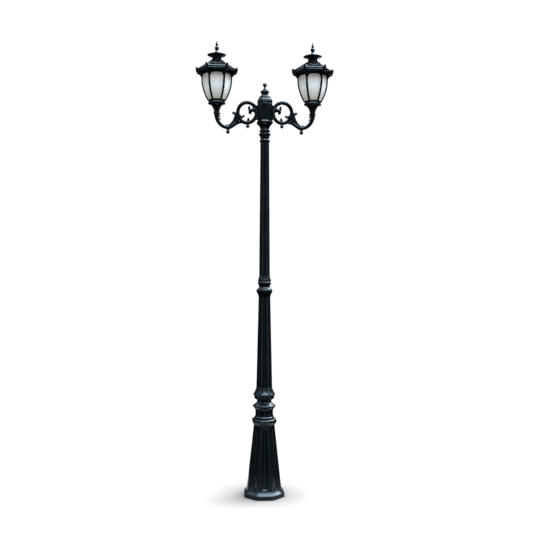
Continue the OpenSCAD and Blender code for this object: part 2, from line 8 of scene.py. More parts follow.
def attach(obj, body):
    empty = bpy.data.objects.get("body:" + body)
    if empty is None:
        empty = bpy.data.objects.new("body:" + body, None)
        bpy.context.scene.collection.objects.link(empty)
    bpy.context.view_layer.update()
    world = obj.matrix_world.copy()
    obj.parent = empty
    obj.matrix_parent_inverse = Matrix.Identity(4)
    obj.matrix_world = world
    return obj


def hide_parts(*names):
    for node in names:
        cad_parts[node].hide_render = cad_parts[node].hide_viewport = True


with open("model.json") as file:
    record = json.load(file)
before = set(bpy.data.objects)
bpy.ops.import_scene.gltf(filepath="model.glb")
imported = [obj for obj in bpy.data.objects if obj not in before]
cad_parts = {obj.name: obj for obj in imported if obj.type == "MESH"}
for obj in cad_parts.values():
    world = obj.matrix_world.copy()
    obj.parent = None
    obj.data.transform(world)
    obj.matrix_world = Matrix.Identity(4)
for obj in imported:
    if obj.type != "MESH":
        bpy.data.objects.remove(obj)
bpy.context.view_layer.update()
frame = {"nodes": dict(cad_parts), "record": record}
nodes = frame["nodes"]
scene = bpy.context.scene

# camera first: it stands a little to the left of straight in front, at chest height
cameraSetup = {
    "distance": 5.4, "height": 1.58, "aroundPost": -3.4, "lens": 51.6, "tiltUp": 0.34, "turnRight": 0.15,
    "lean": -0.12,
}


def placeCamera(setup):
    around = math.radians(setup["aroundPost"])
    data = bpy.data.cameras.new("lampCamera")
    data.lens = setup["lens"]
    data.sensor_width = 36
    data.clip_end = 200
    cam = bpy.data.objects.new("lampCamera", data)
    cam.location = (setup["distance"] * math.sin(around), -setup["distance"] * math.cos(around),
        setup["height"])
    cam.rotation_euler = (math.radians(90 + setup["tiltUp"]), math.radians(setup["lean"]),
        around - math.radians(setup["turnRight"]))
    scene.collection.objects.link(cam)
    scene.camera = cam


placeCamera(cameraSetup)
print("camera placed")


def newFinish(name):
    mat = bpy.data.materials.new(name)
    mat.use_nodes = True
    tree = mat.node_tree
    shader = tree.nodes["Principled BSDF"]
    place = tree.nodes.new("ShaderNodeTexCoord")
    return mat, tree, shader, place


def noiseAt(tree, place, scale, detail=4, rough=0.55, stretch=None):
    noise = tree.nodes.new("ShaderNodeTexNoise")
    noise.inputs["Scale"].default_value = scale
    noise.inputs["Detail"].default_value = detail
    noise.inputs["Roughness"].default_value = rough
    if stretch:
        turn = tree.nodes.new("ShaderNodeMapping")
        turn.inputs["Scale"].default_value = stretch
        tree.links.new(place.outputs["Object"], turn.inputs["Vector"])
        tree.links.new(turn.outputs["Vector"], noise.inputs["Vector"])
    else:
        tree.links.new(place.outputs["Object"], noise.inputs["Vector"])
    return noise.outputs["Fac"]


def ramp(tree, source, stops):
    node = tree.nodes.new("ShaderNodeValToRGB")
    points = node.color_ramp.elements
    while len(points) < len(stops):
        points.new(0.5)
    for point, (at, colour) in zip(points, stops):
        point.position = at
        point.color = (*colour, 1) if len(colour) == 3 else colour
    tree.links.new(source, node.inputs["Fac"])
    return node.outputs["Color"]


def spread(tree, source, low, high, lowOut, highOut):
    node = tree.nodes.new("ShaderNodeMapRange")
    node.inputs["From Min"].default_value = low
    node.inputs["From Max"].default_value = high
    node.inputs["To Min"].default_value = lowOut
    node.inputs["To Max"].default_value = highOut
    tree.links.new(source, node.inputs["Value"])
    return node.outputs["Result"]


def blendColours(tree, amount, first, second):
    node = tree.nodes.new("ShaderNodeMix")
    node.data_type = "RGBA"
    tree.links.new(amount, node.inputs["Factor"])
    tree.links.new(first, node.inputs["A"])
    if isinstance(second, tuple):
        node.inputs["B"].default_value = (*second, 1)
    else:
        tree.links.new(second, node.inputs["B"])
    return node.outputs["Result"]


def bumpFrom(tree, shader, height, strength, distance, under=None):
    node = tree.nodes.new("ShaderNodeBump")
    node.inputs["Strength"].default_value = strength
    node.inputs["Distance"].default_value = distance
    tree.links.new(height, node.inputs["Height"])
    if under is not None:
        tree.links.new(under, node.inputs["Normal"])
    tree.links.new(node.outputs["Normal"], shader.inputs["Normal"])
    return node.outputs["Normal"]


enamelLook = {
    "deep": (0.0004, 0.0010, 0.0009), "pale": (0.0016, 0.0028, 0.0027), "dust": (0.040, 0.031, 0.022),
    "gloss": 0.22, "shine": 0.42, "paintedSkyTint": (0.68, 0.86, 1.0),
}


def enamelFinish(name, dustShare):
    mat, tree, shader, place = newFinish(name)
    mottled = noiseAt(tree, place, 9, 5)
    colour = ramp(tree, mottled, [(0.32, enamelLook["deep"]), (0.72, enamelLook["pale"])])
    grime = noiseAt(tree, place, 26, 6, 0.7)
    dustMask = spread(tree, grime, 0.56, 0.78, 0, dustShare)
    shader.inputs["IOR"].default_value = 1.45
    shader.inputs["Specular IOR Level"].default_value = enamelLook["shine"]
    # painted reflection colour: the enamel's reflections are tinted blue, as if a blue sky shone in them
    shader.inputs["Specular Tint"].default_value = (*enamelLook["paintedSkyTint"], 1)
    tree.links.new(blendColours(tree, dustMask, colour, enamelLook["dust"]), shader.inputs["Base Color"])
    tree.links.new(spread(tree, grime, 0.3, 0.75, enamelLook["gloss"] - 0.04, enamelLook["gloss"] + 0.08),
        shader.inputs["Roughness"])
    castSkin = noiseAt(tree, place, 330, 3, 0.6)
    ripple = noiseAt(tree, place, 42, 2, 0.5)
    first = bumpFrom(tree, shader, castSkin, 0.05, 0.0006)
    bumpFrom(tree, shader, ripple, 0.05, 0.004, first)
    return mat


def metalFinish(name, dark, bright, rough):
    mat, tree, shader, place = newFinish(name)
    cloudy = noiseAt(tree, place, 55, 5)
    tree.links.new(ramp(tree, cloudy, [(0.3, dark), (0.7, bright)]), shader.inputs["Base Color"])
    tree.links.new(spread(tree, cloudy, 0.3, 0.7, rough - 0.08, rough + 0.12), shader.inputs["Roughness"])
    shader.inputs["Metallic"].default_value = 0.9
    bumpFrom(tree, shader, noiseAt(tree, place, 420, 2), 0.12, 0.0005)
    return mat


def mouldedFinish(name, dark, bright, rough):
    mat, tree, shader, place = newFinish(name)
    cloudy = noiseAt(tree, place, 34, 4)
    tree.links.new(ramp(tree, cloudy, [(0.3, dark), (0.7, bright)]), shader.inputs["Base Color"])
    tree.links.new(spread(tree, cloudy, 0.3, 0.7, rough - 0.05, rough + 0.1), shader.inputs["Roughness"])
    bumpFrom(tree, shader, noiseAt(tree, place, 260, 2), 0.15, 0.0004)
    return mat


# the pane colours carry painted shade at the head and foot, and a painted glow
paneLook = {
    "paintedGlow": 0.42, "foot": 2.777, "head": 2.965, "shadedTop": (0.34, 0.315, 0.265),
    "coolMiddle": (0.72, 0.755, 0.77), "shadedFoot": (0.52, 0.49, 0.41),
}


def paneFinish(name):
    mat, tree, shader, place = newFinish(name)
    split = tree.nodes.new("ShaderNodeSeparateXYZ")
    tree.links.new(place.outputs["Object"], split.inputs["Vector"])
    height = spread(tree, split.outputs["Z"], paneLook["foot"], paneLook["head"], 0, 1)
    # painted shade: the panes are darker towards the foot and darkest at the head, where the lamp base and the roof
    # would shade them
    colour = ramp(tree, height, [(0.0, paneLook["shadedFoot"]), (0.27, (0.68, 0.67, 0.62)),
        (0.52, paneLook["coolMiddle"]), (0.78, (0.58, 0.56, 0.51)), (1.0, paneLook["shadedTop"])])
    streaks = noiseAt(tree, place, 60, 3, 0.5, (1, 1, 0.04))
    streaked = blendColours(tree, spread(tree, streaks, 0.45, 0.75, 0, 0.14), colour, (0.58, 0.55, 0.50))
    tree.links.new(streaked, shader.inputs["Base Color"])
    # painted glow: the panes glow faintly in their own colour, standing in for light that comes through them
    tree.links.new(streaked, shader.inputs["Emission Color"])
    shader.inputs["Emission Strength"].default_value = paneLook["paintedGlow"]
    shader.inputs["Coat Weight"].default_value = 0.25
    shader.inputs["Coat Roughness"].default_value = 0.18
    tree.links.new(spread(tree, streaks, 0.3, 0.7, 0.34, 0.5), shader.inputs["Roughness"])
    bumpFrom(tree, shader, streaks, 0.03, 0.001)
    return mat


finish = {
    "enamel": enamelFinish("blackEnamel", 0.06),
    "dustyEnamel": enamelFinish("dustyBlackEnamel", 0.35),
    "plate": metalFinish("galvanisedPlate", (0.30, 0.32, 0.34), (0.52, 0.54, 0.55), 0.42),
    "screw": metalFinish("zincScrew", (0.32, 0.32, 0.30), (0.56, 0.56, 0.53), 0.34),
    "blackScrew": metalFinish("blackenedScrew", (0.03, 0.035, 0.04), (0.10, 0.105, 0.11), 0.36),
    "pane": paneFinish("frostedPane"),
    "china": mouldedFinish("whiteChina", (0.66, 0.65, 0.60), (0.80, 0.79, 0.75), 0.22),
    "lampShell": mouldedFinish("lampDiffuser", (0.74, 0.72, 0.64), (0.84, 0.82, 0.75), 0.4),
    "moulding": mouldedFinish("darkMoulding", (0.02, 0.02, 0.022), (0.05, 0.05, 0.053), 0.45),
    "brass": metalFinish("turnedBrass", (0.48, 0.34, 0.12), (0.70, 0.53, 0.24), 0.3),
}
slotFinish = {
    "cast_black": "enamel", "plate_steel": "plate", "screw_steel": "screw", "frosted_pane": "pane",
    "white_ceramic": "china", "lamp_white": "lampShell", "dark_plastic": "moulding", "brass": "brass",
}
print("finishes mixed")

# shop tools: everything is drawn in millimetres and scaled at the end


def rounded(points, radius=1.5, closed=True):
    out = []
    count = len(points)
    for i, point in enumerate(points):
        here = Vector(point)
        if not closed and i in (0, count - 1):
            out.append(here)
            continue
        before, after = Vector(points[i - 1]), Vector(points[(i + 1) % count])
        back, ahead = before - here, after - here
        reach = min(radius, back.length * 0.38, ahead.length * 0.38)
        if reach < 0.05 or here.x < 0.01:
            out.append(here)
            continue
        start, end = here + back.normalized() * reach, here + ahead.normalized() * reach
        for t in (0, 0.5, 1):
            out.append(start * (1 - t) ** 2 + here * 2 * t * (1 - t) + end * t * t)
    return out


def turnProfile(bm, points, sides=72, soften=1.5, closed=True, start=0.0, flats=False):
    line = rounded(points, soften, closed)
    grow = 1 / math.cos(math.pi / sides) if flats else 1
    verts = [bm.verts.new((p.x * grow, 0, p.y)) for p in line]
    edges = [bm.edges.new(pair) for pair in zip(verts, verts[1:])]
    if closed:
        edges.append(bm.edges.new((verts[-1], verts[0])))
    if start:
        bmesh.ops.rotate(bm, cent=(0, 0, 0), matrix=Matrix.Rotation(start, 3, "Z"), verts=verts)
    made = bmesh.ops.spin(bm, geom=verts + edges, cent=(0, 0, 0), axis=(0, 0, 1), angle=math.tau,
        steps=sides, use_merge=True)
    return made


def eightSided(bm, points, soften=1.5, closed=True):
    return turnProfile(bm, points, 8, soften, closed, math.pi / 8, True)


def sixSided(bm, points, soften=1.5):
    return turnProfile(bm, points, 6, soften)


def arcPoints(u, z, radius, first, last, steps):
    out = []
    for i in range(steps + 1):
        a = math.radians(first + (last - first) * i / steps)
        out.append(Vector((u + radius * math.cos(a), 0, z + radius * math.sin(a))))
    return out


def pour(bm, part):
    # a small part is made apart and then poured into the piece
    mesh = bpy.data.meshes.new("pour")
    part.to_mesh(mesh)
    part.free()
    before = len(bm.verts)
    bm.from_mesh(mesh)
    bpy.data.meshes.remove(mesh)
    bm.verts.ensure_lookup_table()
    return bm.verts[before:]


def ringEdges(ring):
    inside = set(ring)
    return list({e for v in ring for e in v.link_edges if e.verts[0] in inside and e.verts[1] in inside})


def sweep(bm, path, thick, sides=20, flat=1.0, square=2.0, closed=False):
    # rings stand square to the path, then neighbouring rings are bridged
    part = bmesh.new()
    loops = []
    count = len(path)
    for i, point in enumerate(path):
        ahead = path[(i + 1) % count] if closed or i < count - 1 else point
        behind = path[i - 1] if closed or i > 0 else point
        along = (ahead - behind).normalized()
        side = Vector((0, 1, 0)) if abs(along.y) < 0.95 else Vector((1, 0, 0))
        up = along.cross(side).normalized()
        side = up.cross(along).normalized()
        size = thick(i / (count - 1)) if callable(thick) else thick
        turn = Matrix((side, up, along)).transposed().to_4x4()
        ring = bmesh.ops.create_circle(part, segments=sides, radius=1)["verts"]
        for v in ring:
            bulge = (abs(v.co.x) ** square + abs(v.co.y) ** square) ** (-1 / square) * size
            v.co = point + turn @ Vector((v.co.x * bulge * flat, v.co.y * bulge, 0))
        loops.append((ring, ringEdges(ring)))
    pairs = list(zip(loops, loops[1:])) + ([(loops[-1], loops[0])] if closed else [])
    for first, second in pairs:
        bmesh.ops.bridge_loops(part, edges=first[1] + second[1])
    if not closed:
        for ring, _ in (loops[0], loops[-1]):
            bmesh.ops.contextual_create(part, geom=ring)
    return pour(bm, part)


def lump(bm, x, y, z, radius, stretch=(1, 1, 1)):
    made = bmesh.ops.create_icosphere(bm, subdivisions=3, radius=radius)["verts"]
    bmesh.ops.scale(bm, vec=stretch, verts=made)
    bmesh.ops.translate(bm, vec=(x, y, z), verts=made)


def plate(bm, outline, thick):
    # a flat shape in the upright plane, given a thickness
    verts = [bm.verts.new((x, -thick / 2, z)) for x, z in outline]
    face = bm.faces.new(verts)
    grown = bmesh.ops.extrude_face_region(bm, geom=[face])["geom"]
    new = [v for v in grown if isinstance(v, bmesh.types.BMVert)]
    bmesh.ops.translate(bm, vec=(0, thick, 0), verts=new)


def sheetPatch(bm, columns, rows, place, depth=0.0):
    # a grid laid over a surface: place takes across and up, both 0 to 1
    part = bmesh.new()
    made = bmesh.ops.create_grid(part, x_segments=columns, y_segments=rows, size=0.5)["verts"]
    for v in made:
        v.co = Vector(place(v.co.x + 0.5, v.co.y + 0.5))
    if depth:
        bmesh.ops.solidify(part, geom=list(part.verts) + list(part.edges) + list(part.faces), thickness=depth)
    return pour(bm, part)


def thicken(bm, depth):
    bmesh.ops.solidify(bm, geom=list(bm.verts) + list(bm.edges) + list(bm.faces), thickness=depth)


def ringOf(bm, part, count, start=0.0):
    # one sector is poured in again and again around the axis
    for k in range(count):
        twin = part.copy()
        bmesh.ops.rotate(twin, cent=(0, 0, 0), matrix=Matrix.Rotation(start + math.tau * k / count, 3, "Z"),
            verts=twin.verts)
        pour(bm, twin)
    part.free()


sharpTurn = 1.2  # radians between faces, above which an edge is eased


def sharpEdges(verts):
    return [e for e in {e for v in verts for e in v.link_edges} if e.calc_face_angle(0) > sharpTurn]


def finishPiece(bm, name, look, body, replaced, shift=(0, 0, 0), edge=0.0, sharp=32,
        flip=False, fuse=0.0):
    if flip:
        bmesh.ops.scale(bm, vec=(-1, 1, 1), verts=bm.verts)
    bmesh.ops.translate(bm, vec=shift, verts=bm.verts)
    bmesh.ops.scale(bm, vec=(0.001, 0.001, 0.001), verts=bm.verts)
    bmesh.ops.remove_doubles(bm, verts=bm.verts, dist=0.00002)
    bmesh.ops.recalc_face_normals(bm, faces=bm.faces)
    for face in bm.faces:
        face.smooth = True
    for e in bm.edges:
        e.smooth = len(e.link_faces) == 2 and e.calc_face_angle(0) < math.radians(sharp)
    mesh = bpy.data.meshes.new(name)
    bm.to_mesh(mesh)
    bm.free()
    obj = bpy.data.objects.new(name, mesh)
    scene.collection.objects.link(obj)
    mesh.materials.append(finish[look])
    if fuse:
        melt = obj.modifiers.new("castTogether", "REMESH")
        melt.mode = "VOXEL"
        melt.voxel_size = fuse
        melt.use_smooth_shade = True
        ease = obj.modifiers.new("filed", "SMOOTH")
        ease.factor = 0.5
        ease.iterations = 5
        bpy.context.view_layer.update()
        solid = bpy.data.meshes.new_from_object(obj.evaluated_get(bpy.context.evaluated_depsgraph_get()))
        obj.modifiers.clear()
        obj.data = solid
        solid.materials.clear()
        solid.materials.append(finish[look])
    if edge:
        bevel = obj.modifiers.new("easedEdges", "BEVEL")
        bevel.width = edge * 0.001
        bevel.segments = 2
        bevel.limit_method = "ANGLE"
        bevel.angle_limit = math.radians(sharp)
        bevel.harden_normals = True
    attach(obj, body)
    if replaced:
        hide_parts(*replaced)
    return obj


base = {
    "footFlat": 119.0, "headFlat": 71.5, "footZ": 50.0, "headZ": 500.0, "panelDepth": 8.2,
    "panelFoot": 31.0, "panelHead": 15.5, "panelStart": 60.0, "archZ": 452.0, "wall": 11.0,
    "doorHalf": 32.0, "doorFoot": 124.6, "doorHead": 333.4, "slope": 6.0523, "slopeEnd": 498,
    "plinth": [(117.5, 0), (139.5, 0), (139.8, 3), (139.8, 27), (138, 30), (123, 45), (121.5, 48.5),
        (119.4, 52), (106, 52), (106, 36), (117.5, 20)],
    "topRing": [(26, 541), (26, 432), (60, 432), (66, 486), (70.8, 497), (73, 503), (79, 512),
        (83, 521), (85.6, 529), (85.4, 533), (82.5, 537.5), (78, 540.8)],
    "lugSize": (27, 26, 18), "lugAt": (103.7, 0, 21),
}


def baseFlat(z):
    part = (z - base["footZ"]) / (base["slopeEnd"] - base["footZ"])
    return base["footFlat"] + (base["headFlat"] - base["footFlat"]) * part


def panelDip(x, z):
    if z < base["panelStart"]:
        return 0.0
    part = min(1, (z - base["panelStart"]) / (base["archZ"] - base["panelStart"]))
    half = base["panelFoot"] + (base["panelHead"] - base["panelFoot"]) * part
    if z > base["archZ"]:
        over = (z - base["archZ"]) / base["panelHead"]
        half *= math.sqrt(max(0, 1 - over * over))
    if half < 0.5 or abs(x) >= half:
        return 0.0
    rise = min(1, (z - base["panelStart"]) / 13)
    fade = min(1, (half - abs(x)) / 5)
    return base["panelDepth"] * (rise ** 0.8) * (0.35 * fade ** 0.7 + 0.65 * (1 - (x / half) ** 2))


def basePoint(x, z):
    return (x, -(baseFlat(z) - panelDip(x, z)), z)


def baseSector(bm, lowZ, highZ, columns=40, rows=120, half=None):
    def put(a, b):
        z = lowZ + (highZ - lowZ) * b
        wide = baseFlat(z) * math.tan(math.pi / 8) if half is None else half
        return basePoint((a * 2 - 1) * wide, z)
    return sheetPatch(bm, columns, rows, put)


def makeBase():
    bm = bmesh.new()
    sector = bmesh.new()
    baseSector(sector, base["footZ"] - 1, base["headZ"])
    ringOf(bm, sector, 8)
    bmesh.ops.remove_doubles(bm, verts=bm.verts, dist=0.05)
    # the rear face is cut open for the service door
    half, low, high = base["doorHalf"] + 0.7, base["doorFoot"] - 0.9, base["doorHead"] + 0.9
    for co, no in (((half, 0, 0), (1, 0, 0)), ((-half, 0, 0), (1, 0, 0)), ((0, 0, low), (0, 0, 1)),
            ((0, 0, high), (0, 0, 1))):
        rear = [f for f in bm.faces if f.calc_center_median().y > 60 and abs(f.calc_center_median().x) < 50]
        geom = rear + list({e for f in rear for e in f.edges}) + list({v for f in rear for v in f.verts})
        bmesh.ops.bisect_plane(bm, geom=geom, plane_co=co, plane_no=no, dist=0.02)
    gone = [f for f in bm.faces if f.calc_center_median().y > 60 and abs(f.calc_center_median().x) < half
        and low < f.calc_center_median().z < high]
    bmesh.ops.delete(bm, geom=gone, context="FACES")
    bmesh.ops.recalc_face_normals(bm, faces=bm.faces)
    thicken(bm, base["wall"])
    # plinth and the stepped ring on top are eight sided turnings
    eightSided(bm, base["plinth"], 2.2)
    eightSided(bm, base["topRing"], 2.2)
    # hinge knuckles for the door
    for k in (0, 2, 4):
        hingeKnuckle(bm, k)
    # lugs that hold the casting down on the foot plate
    lug = bmesh.new()
    bmesh.ops.create_cube(lug, size=1)
    bmesh.ops.scale(lug, vec=base["lugSize"], verts=lug.verts)
    bmesh.ops.translate(lug, vec=base["lugAt"], verts=lug.verts)
    bmesh.ops.bevel(lug, geom=list(lug.edges), offset=1.5, affect="EDGES", segments=2, profile=0.5,
        material=-1)
    ringOf(bm, lug, 4)
    return finishPiece(bm, "baseCasting", "enamel", "post", ["base_casting"], sharp=38)


def onRearFace(x, out, up):
    lean = math.radians(base["slope"])
    return Vector((x, base["footFlat"] + out * math.cos(lean) - up * math.sin(lean),
        base["footZ"] + out * math.sin(lean) + up * math.cos(lean)))


hinge = {
    "across": -33, "out": 4, "up": 105.5, "pitch": 30, "tall": 29, "thick": 3.6, "webOut": 1.5,
    "webThick": 3.1,
}


def hingeKnuckle(bm, k):
    # knuckles 0, 2 and 4 are the casting's, 1 and 3 are the door's
    foot, tall = hinge["up"] + hinge["pitch"] * k, hinge["tall"]
    path = [onRearFace(hinge["across"], hinge["out"], foot + s) for s in (0, 0.6, tall - 0.6, tall)]
    sweep(bm, path, lambda t: hinge["thick"] - 0.6 * (t in (0, 1)), 16)
    side = -1 if k % 2 == 0 else 1
    web = [onRearFace(hinge["across"] + side * 3.2, hinge["webOut"], foot + s) for s in (1, tall - 1)]
    sweep(bm, web, hinge["webThick"], 12, 1.0, 4.0)


def makeDoor():
    bm = bmesh.new()
    patch = baseSector(bm, base["doorFoot"], base["doorHead"], 34, 60, base["doorHalf"])
    bmesh.ops.recalc_face_normals(bm, faces=bm.faces)
    bmesh.ops.rotate(bm, cent=(0, 0, 0), matrix=Matrix.Rotation(math.pi, 3, "Z"), verts=patch)
    thicken(bm, 8)
    for k in (1, 3):
        hingeKnuckle(bm, k)
    return finishPiece(bm, "serviceDoor", "enamel", "door", ["service_door"], sharp=38)


makeBase()
makeDoor()
print("base made")

flutes = {
    "count": 12, "perFlute": 14, "depthLow": 3.4, "depthHigh": 2.7, "share": 0.43,
    "endSteps": [0, 2, 5, 9, 14, 20],
}


def flutedShaft(name, node, footZ, headZ, footR, headR, depth, bore):
    bm = bmesh.new()
    sides = flutes["count"] * flutes["perFlute"]
    ends = flutes["endSteps"]
    between = [footZ + (headZ - footZ) * s / 10 for s in range(1, 10)]
    heights = [footZ + e for e in ends] + between + [headZ - e for e in reversed(ends)]
    loops = []
    for z in heights:
        part = (z - footZ) / (headZ - footZ)
        radius = footR + (headR - footR) * part
        nearEnd = min(z - footZ, headZ - z)
        width = flutes["share"] * math.sqrt(max(0, 1 - (1 - min(1, nearEnd / 14)) ** 2))
        ring = bmesh.ops.create_circle(bm, segments=sides, radius=radius,
            matrix=Matrix.Translation((0, 0, z)))["verts"]
        for v in ring:
            turn = math.atan2(v.co.y, v.co.x) / math.tau * flutes["count"]
            off = abs(turn - round(turn))
            if off < width:
                dip = depth * (1 - (off / width) ** 2)
                v.co.x *= 1 - dip / radius
                v.co.y *= 1 - dip / radius
        loops.append((ring, ringEdges(ring)))
    for radius, z in ((bore, footZ), (min(bore, headR - 5), headZ)):
        ring = bmesh.ops.create_circle(bm, segments=sides, radius=radius,
            matrix=Matrix.Translation((0, 0, z)))["verts"]
        loops.append((ring, ringEdges(ring)))
    order = [loops[-2]] + loops[:-2] + [loops[-1], loops[-2]]
    for first, second in zip(order, order[1:]):
        bmesh.ops.bridge_loops(bm, edges=first[1] + second[1])
    return finishPiece(bm, name, "enamel", "post", [node], sharp=50)


def petalRing(bm, count, footR, footZ, headR, headZ, proud, start=0.0):
    # pointed leaves that stand on a flare and lean against the shaft
    for k in range(count):
        middle = start + math.tau * k / count
        half = math.pi / count * 0.93

        def put(a, b):
            side = (a * 2 - 1)
            narrow = math.sqrt(max(0.0, 1 - (max(0, b - 0.45) / 0.55) ** 2.4)) * (1 - 0.06 * b)
            radius = footR + (headR - footR) * (1 - (1 - b) ** 1.7)
            belly = math.sin(math.pi * min(1, 0.25 + b * 0.72))
            vein = 0.9 * (abs(side) < 0.12) * (b < 0.86)
            swell = proud * (1 - side * side) ** 0.6 * belly - vein
            around = middle + half * side * narrow
            z = footZ + (headZ - footZ) * b
            return ((radius + swell) * math.cos(around), (radius + swell) * math.sin(around), z)
        sheetPatch(bm, 12, 12, put)


def makeCollar(name, node, outline, look="enamel", petals=()):
    bm = bmesh.new()
    turnProfile(bm, outline, 84, 1.6)
    for row in petals:
        petalRing(bm, *row)
    return finishPiece(bm, name, look, "post", [node], sharp=48)


bore = 24.3
collars = {
    "drum": [(bore, 541), (69, 541), (71, 544), (71.5, 549), (69.5, 553.5), (65.5, 557), (63.5, 562),
        (62.3, 575), (61.8, 590), (63, 602), (66.5, 611), (72, 618.5), (79, 625), (81.3, 629.5),
        (80.5, 634), (77, 637.5), (73.5, 638.5), (66, 645), (57, 652), (52.5, 657), (51, 664),
        (51.5, 675.9), (bore, 675.9)],
    "lowerPetal": [(bore, 676), (56, 676), (62, 678.5), (68.5, 683.5), (71.2, 688), (71.2, 694),
        (68.8, 698.5), (69.5, 702), (75, 705.5), (77.5, 709.5), (77, 714), (73.5, 720), (66, 731),
        (60, 742), (57.6, 750), (57.6, 755.9), (bore, 755.9)],
    "bell": [(bore, 1400), (42.4, 1400), (44, 1408), (47.5, 1417), (52, 1426), (55.3, 1431.5),
        (56.8, 1435.5), (57.1, 1441), (56.2, 1446.5), (53.6, 1450.5), (52.6, 1453), (47, 1457),
        (41.6, 1462), (40, 1465.9), (bore, 1465.9)],
    "ring": [(bore, 1466), (39.5, 1466), (39.5, 1478), (41.5, 1484), (46, 1487.5), (47.5, 1491),
        (47.5, 1497), (46, 1500.5), (43.4, 1503.5), (43, 1507.9), (bore, 1507.9)],
    "middlePetal": [(bore, 1508), (44.5, 1508), (47.2, 1510.5), (47.4, 1513.5), (45.8, 1517.5),
        (42.5, 1526), (39.6, 1534), (39.2, 1539.9), (bore, 1539.9)],
    "neck": [(bore, 2489), (31.9, 2489), (34.5, 2492.5), (37, 2496.5), (37.4, 2501), (36, 2505),
        (32.4, 2508.5), (31, 2513), (31.2, 2518), (33.5, 2524), (34.8, 2532), (37, 2537), (41.4, 2540.5),
        (42.3, 2545), (41.6, 2550), (38, 2553), (32.6, 2555.5), (31, 2559), (33, 2561.5), (36.6, 2563.5),
        (37.8, 2568), (37.2, 2573), (34.5, 2576.5), (32.6, 2580), (32.4, 2589.9), (bore, 2589.9)],
}
makeCollar("drumCollar", "drum_collar", collars["drum"])
makeCollar("lowerPetalCollar", "lower_petal_collar", collars["lowerPetal"],
    petals=[(12, 76.4, 713.5, 58.2, 754.5, 2.2, 0.2618)])
makeCollar("middleBell", "middle_bell", collars["bell"], "dustyEnamel")
makeCollar("middleRing", "middle_ring", collars["ring"])
makeCollar("middlePetalCollar", "middle_petal_collar", collars["middlePetal"],
    petals=[(12, 46.4, 1515, 39.3, 1539, 1.3, 0.2618)])
makeCollar("neckRings", "neck_rings", collars["neck"])
flutedShaft("lowerShaft", "lower_shaft", 756, 1400, 57, 42, flutes["depthLow"], 47)
flutedShaft("upperShaft", "upper_shaft", 1540, 2489, 38.6, 31.6, flutes["depthHigh"], 31)
print("post made")

head = {
    "housing": [(18, 2590.1), (33, 2590.1), (34.5, 2596), (39, 2605), (46.5, 2614), (54.5, 2621.5),
        (56.3, 2625), (56.3, 2632.5), (54, 2636), (51.6, 2641), (51, 2646), (51, 2767), (52.8, 2770),
        (53.4, 2774), (52.8, 2778), (51.2, 2781), (51.4, 2787), (49, 2791.5), (44.2, 2796.9), (40, 2796.9),
        (40, 2656), (18, 2656)],
    "cap": [(39.6, 2764), (39.6, 2797), (43.8, 2797.2), (43.8, 2800.5), (39.6, 2803), (39.8, 2810),
        (37, 2814), (29, 2817), (25.6, 2820), (24.8, 2826), (24.8, 2834), (27.5, 2840.5), (31.3, 2845),
        (31.3, 2849), (27, 2853), (21, 2857), (18, 2860), (0.01, 2860)],
    "finial": [(0.01, 2860.2), (17.5, 2860.2), (14.5, 2863.5), (9.8, 2868.5), (7.2, 2873), (6.9, 2880),
        (8.5, 2885), (12.5, 2890.5), (17, 2896.2), (17, 2898.2), (12, 2904), (6, 2910), (0.01, 2912.8)],
}


def makeHead():
    bm = bmesh.new()
    eightSided(bm, head["housing"], 1.6)
    tall = [f for f in bm.faces if 2650 < f.calc_center_median().z < 2765 and f.calc_area() > 2500
        and f.calc_center_median().to_2d().length > 45]
    bmesh.ops.inset_individual(bm, faces=tall, thickness=5.2, depth=0)
    bmesh.ops.inset_individual(bm, faces=tall, thickness=1.4, depth=-1.5)
    bmesh.ops.inset_individual(bm, faces=tall, thickness=2.2, depth=0)
    finishPiece(bm, "headHousing", "enamel", "post", ["head_housing"], edge=0.9, sharp=34)
    bm = bmesh.new()
    eightSided(bm, head["cap"], 1.3, closed=False)
    finishPiece(bm, "headCap", "enamel", "post", ["head_cap"], edge=0.7, sharp=34)
    bm = bmesh.new()
    eightSided(bm, head["finial"], 1.2, closed=False)
    finishPiece(bm, "headFinial", "enamel", "post", ["head_finial"], edge=0.6, sharp=34)


makeHead()
print("head made")

# the arms are drawn as the right arm and flipped for the left
arm = {
    "ringU": 125, "ringZ": 2699, "ringR": 66, "ringTall": 72, "ringThick": 13.2, "bendU": 254,
    "bendZ": 2677, "bendR": 86, "lanternU": 340, "meltAt": 0.0017, "bold": 1.26,
    "sTail": [(254, 2591), (240, 2596.5), (226, 2605.5), (212, 2615), (198, 2624), (184, 2629.5),
        (168, 2633), (154, 2637)],
}


def tapered(first, last, tip=0.0):
    def size(t):
        body = first + (last - first) * t
        if tip and t > 1 - tip:
            body *= math.sqrt(max(0.04, 1 - ((t - 1 + tip) / tip) ** 2))
        return body
    return size


def smoothPath(points, steps=8):
    # a soft line through the given points
    ends = [points[0]] + list(points) + [points[-1]]
    out = []
    for i in range(1, len(ends) - 2):
        p0, p1, p2, p3 = (Vector((p[0], 0, p[1])) for p in ends[i - 1:i + 3])
        for s in range(steps):
            t = s / steps
            out.append(0.5 * (2 * p1 + (p2 - p0) * t + (2 * p0 - 5 * p1 + 4 * p2 - p3) * t * t
                + (3 * p1 - p0 - 3 * p2 + p3) * t ** 3))
    out.append(Vector((points[-1][0], 0, points[-1][1])))
    return out


def upright(u, *heights):
    return [Vector((u, 0, z)) for z in heights]


def scroll(bm, points, first, last, tip=0.12):
    sweep(bm, smoothPath(points), tapered(first * arm["bold"], last * arm["bold"], tip), 14)


# how far out each drop hangs, and its outline
armDrops = [(260, [(0.01, 2545), (3.2, 2546), (6, 2549.4), (11.2, 2552.6), (14, 2557.4), (14.2, 2562.4),
    (12.2, 2567), (10, 2569.6), (10.4, 2572.9), (0.01, 2572.9)]),
    (121, [(0.01, 2588), (2.8, 2588.8), (5.4, 2592), (10.4, 2595), (13, 2599.6), (13.2, 2604.4),
    (11.2, 2608.8), (9, 2611.4), (9.4, 2615.9), (0.01, 2615.9)])]


